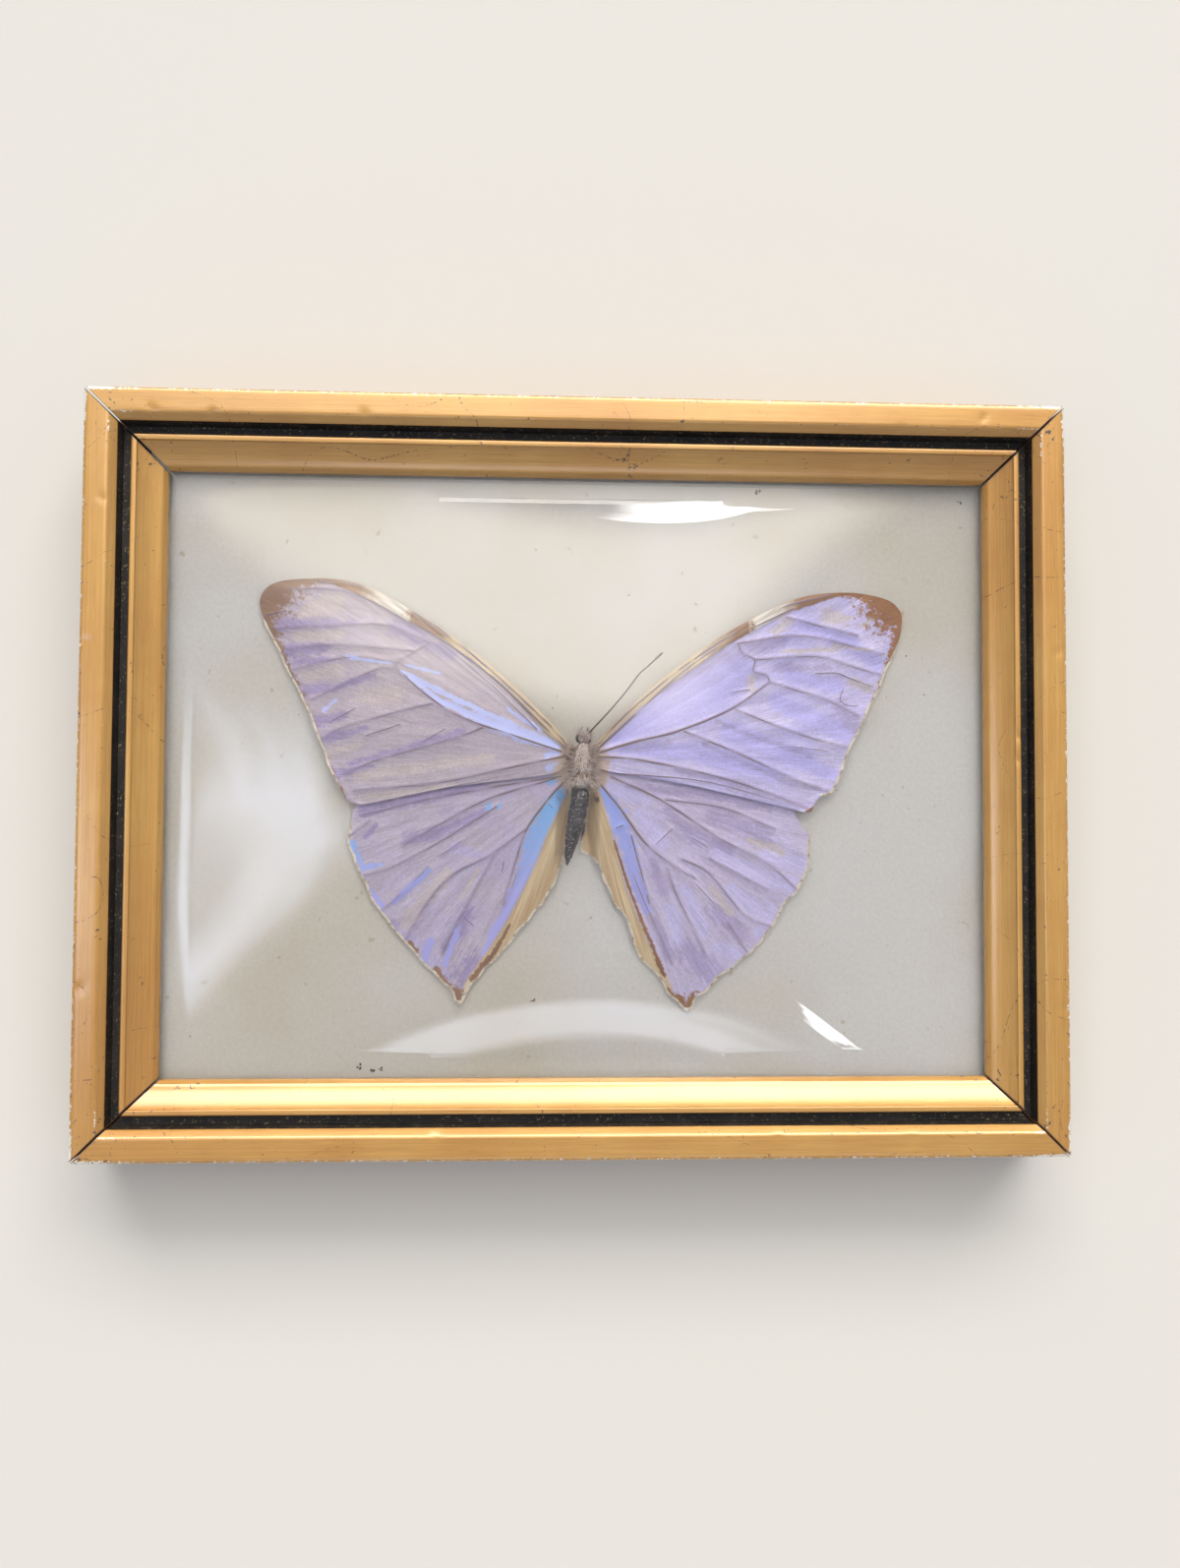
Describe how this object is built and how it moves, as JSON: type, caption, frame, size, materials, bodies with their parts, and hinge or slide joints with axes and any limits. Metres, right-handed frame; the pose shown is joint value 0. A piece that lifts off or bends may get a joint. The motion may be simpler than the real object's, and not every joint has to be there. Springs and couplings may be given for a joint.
{
  "type": "framed butterfly specimen",
  "caption": "Spread lilac butterfly on a pale card under a clear domed cover, in a shallow mitred gold moulding frame with a black channel.",
  "frame": {"origin": "centre of the frame's back plane, with the frame lying on its back", "axes": "+X to the right as the face is seen, +Y towards the top rail and the butterfly's head, +Z out of the face"},
  "size_m": [0.14, 0.108, 0.014],
  "materials": {
    "gold_moulding": "wood with satin gold foil, black channel, worn corners",
    "clear_cover": "clear and glossy, moulded",
    "pale_card": "matt, pale warm grey",
    "hardboard": "pressed brown fibre board",
    "steel_brad": "drawn wire",
    "brass_hanger": "stamped, satin",
    "insect_fur": "dry, hairy",
    "dark_chitin": "dry, slightly shiny",
    "wing_membrane": "pearly scales with brown margins"
  },
  "bodies": {
    "root": {"rail_top": "gold_moulding", "rail_bottom": "gold_moulding", "rail_left": "gold_moulding", "rail_right": "gold_moulding", "domed_cover": "clear_cover", "backdrop_card": "pale_card", "backing_board": "hardboard", "brad_top_left": "steel_brad", "brad_top_right": "steel_brad", "brad_bottom_left": "steel_brad", "brad_bottom_right": "steel_brad", "brad_left": "steel_brad", "brad_right": "steel_brad", "sawtooth_hanger": "brass_hanger", "hanger_rivet_left": "brass_hanger", "hanger_rivet_right": "brass_hanger", "thorax_and_head": "insect_fur", "abdomen": "dark_chitin", "antenna_right": "dark_chitin", "forewing_left": "wing_membrane", "forewing_right": "wing_membrane", "hindwing_left": "wing_membrane", "hindwing_right": "wing_membrane"}
  },
  "joints": []
}
